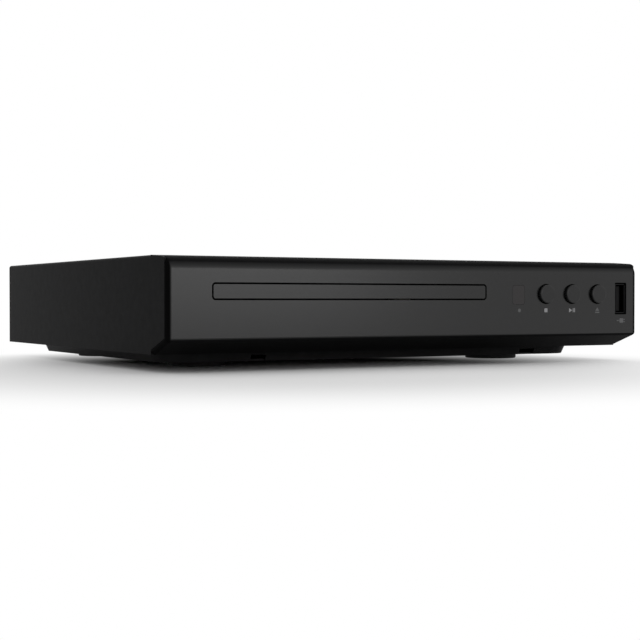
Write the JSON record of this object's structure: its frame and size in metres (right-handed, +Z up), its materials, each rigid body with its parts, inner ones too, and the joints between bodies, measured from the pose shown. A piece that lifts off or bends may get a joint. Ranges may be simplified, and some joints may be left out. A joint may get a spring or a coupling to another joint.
{
  "type": "disc player",
  "caption": "Slim black disc player with a motor-driven slide-out disc tray behind a narrow front door, round press buttons, an upright USB socket and rear sockets for picture, sound and mains",
  "frame": {"origin": "on the floor under the middle of the whole outline", "axes": "+X to the right seen from the front, +Y to the back, +Z up; the front faces -Y"},
  "size_m": [0.23, 0.2108, 0.0446],
  "materials": {
    "cover_paint": "fine-textured satin black paint",
    "chassis_paint": "satin dark paint on pressed steel",
    "fascia_plastic": "satin black moulding",
    "button_plastic": "satin black",
    "window_plastic": "dark filter plastic",
    "foot_rubber": "matt",
    "black_screw": "black zinc",
    "screw_steel": "zinc plated",
    "board_laminate": "green solder mask",
    "part_black": "moulded",
    "lamp_lens": "clear red",
    "socket_steel": "nickel plated",
    "tongue_plastic": "moulded grey",
    "dark_tongue": "moulded",
    "jack_metal": "gold plated",
    "jack_block": "moulded",
    "jack_inner": "moulded",
    "inlet_plastic": "moulded",
    "pin_metal": "nickel plated",
    "sink_metal": "extruded",
    "connector_plastic": "moulded",
    "ribbon_film": "laminated film",
    "core_metal": "ferrite with tape",
    "can_metal": "sleeved can",
    "loader_plastic": "moulded",
    "tray_plastic": "fine matt",
    "clamp_plastic": "moulded",
    "motor_steel": "plated can",
    "gear_plastic": "moulded acetal",
    "pulley_brass": "turned",
    "belt_rubber": "matt",
    "damper_rubber": "matt",
    "plate_steel": "zinc plated sheet",
    "rod_steel": "ground",
    "turntable_plastic": "moulded",
    "sled_plastic": "glass-filled moulding",
    "lens_glass": "coated"
  },
  "bodies": {
    "case": {"top_cover": "cover_paint", "chassis_base": "chassis_paint", "rubber_feet": "foot_rubber", "front_fascia": "fascia_plastic", "ir_window": "window_plastic", "front_board": "board_laminate", "tact_switches": "part_black", "ir_receiver": "part_black", "status_lamp": "lamp_lens", "front_board_screws": "screw_steel", "usb_shell": "socket_steel", "usb_tongue": "tongue_plastic", "rear_panel": "chassis_paint", "cover_screws": "black_screw", "jack_housing": "jack_block", "jack_shells": "jack_metal", "jack_insulators": "jack_inner", "hdmi_shell": "socket_steel", "hdmi_tongue": "dark_tongue", "mains_inlet": "inlet_plastic", "inlet_pins": "pin_metal", "main_board": "board_laminate", "main_chips": "part_black", "heat_sink": "sink_metal", "board_connectors": "connector_plastic", "front_ribbon": "ribbon_film", "power_board": "board_laminate", "transformer": "core_metal", "capacitors": "can_metal", "board_screws": "screw_steel", "loader_frame": "loader_plastic", "loader_screws": "screw_steel", "clamp_bridge": "loader_plastic", "loading_motor": "motor_steel", "drive_belt": "belt_rubber"},
    "tray": {"disc_tray": "tray_plastic", "tray_door": "fascia_plastic"},
    "tray_gear": {"tray_gear": "gear_plastic"},
    "pulley_gear": {"pulley_gear": "gear_plastic"},
    "motor_pulley": {"motor_pulley": "pulley_brass"},
    "clamp": {"clamp_puck": "clamp_plastic"},
    "traverse": {"lifter_frame": "loader_plastic", "damper_grommets": "damper_rubber", "grommet_screws": "screw_steel", "traverse_plate": "plate_steel", "guide_rods": "rod_steel", "spindle_motor": "motor_steel", "sled_motor": "motor_steel"},
    "turntable": {"turntable": "turntable_plastic", "turntable_pad": "damper_rubber"},
    "sled": {"pickup_sled": "sled_plastic", "pickup_lens": "lens_glass"},
    "sled_gear": {"sled_gear": "gear_plastic"},
    "sled_pinion": {"sled_pinion": "pulley_brass"},
    "cam_slider": {"cam_slider": "gear_plastic"},
    "stop_button": {"stop_button": "button_plastic"},
    "play_button": {"play_button": "button_plastic"},
    "open_button": {"open_button": "button_plastic"}
  },
  "joints": [
    {"name": "tray_slide", "type": "slide", "parent": "case", "child": "tray", "axis": [0, -1, 0], "range_m": [0, 0.128]},
    {"name": "tray_gear_spin", "type": "hinge", "parent": "case", "child": "tray_gear", "pos_m": [0.0094, -0.0693, 0.0236], "axis": [0, 0, 1], "continuous": true},
    {"name": "pulley_gear_spin", "type": "hinge", "parent": "case", "child": "pulley_gear", "pos_m": [-0.0098, -0.0693, 0.0208], "axis": [0, 0, 1], "continuous": true},
    {"name": "motor_pulley_spin", "type": "hinge", "parent": "case", "child": "motor_pulley", "pos_m": [-0.0518, -0.0693, 0.0208], "axis": [0, 0, 1], "continuous": true},
    {"name": "clamp_spin", "type": "hinge", "parent": "case", "child": "clamp", "pos_m": [-0.0326, -0.0238, 0.038], "axis": [0, 0, 1], "continuous": true},
    {"name": "traverse_lift", "type": "hinge", "parent": "case", "child": "traverse", "pos_m": [-0.0326, 0.0642, 0.022], "axis": [-1, 0, 0], "range_deg": [0, 4.4]},
    {"name": "cam_slide", "type": "slide", "parent": "case", "child": "cam_slider", "axis": [1, 0, 0], "range_m": [0, 0.018]},
    {"name": "spindle_spin", "type": "hinge", "parent": "traverse", "child": "turntable", "pos_m": [-0.0326, -0.02415, 0.02322], "axis": [0, -0.0767, 0.9971], "continuous": true},
    {"name": "sled_slide", "type": "slide", "parent": "traverse", "child": "sled", "axis": [0, 0.9971, 0.0767], "range_m": [0, 0.032]},
    {"name": "sled_gear_spin", "type": "hinge", "parent": "traverse", "child": "sled_gear", "pos_m": [-0.0154, 0.02393, 0.02392], "axis": [0, -0.0767, 0.9971], "continuous": true},
    {"name": "sled_pinion_spin", "type": "hinge", "parent": "traverse", "child": "sled_pinion", "pos_m": [-0.0039, 0.02393, 0.02392], "axis": [0, -0.0767, 0.9971], "continuous": true},
    {"name": "stop_press", "type": "slide", "parent": "case", "child": "stop_button", "axis": [0, 1, 0], "range_m": [0, 0.0006], "stiffness_N_per_m": 300},
    {"name": "play_press", "type": "slide", "parent": "case", "child": "play_button", "axis": [0, 1, 0], "range_m": [0, 0.0006], "stiffness_N_per_m": 300},
    {"name": "open_press", "type": "slide", "parent": "case", "child": "open_button", "axis": [0, 1, 0], "range_m": [0, 0.0006], "stiffness_N_per_m": 300}
  ],
  "couplings": [
    {"joint": "tray_gear_spin", "follows": "tray_slide", "rad_per_m": -125},
    {"joint": "pulley_gear_spin", "follows": "tray_slide", "rad_per_m": 375},
    {"joint": "motor_pulley_spin", "follows": "tray_slide", "rad_per_m": 1845.6},
    {"joint": "cam_slide", "follows": "traverse_lift", "m_per_rad": 0.23439},
    {"joint": "sled_gear_spin", "follows": "sled_slide", "rad_per_m": -238.1},
    {"joint": "sled_pinion_spin", "follows": "sled_slide", "rad_per_m": 857.14}
  ]
}
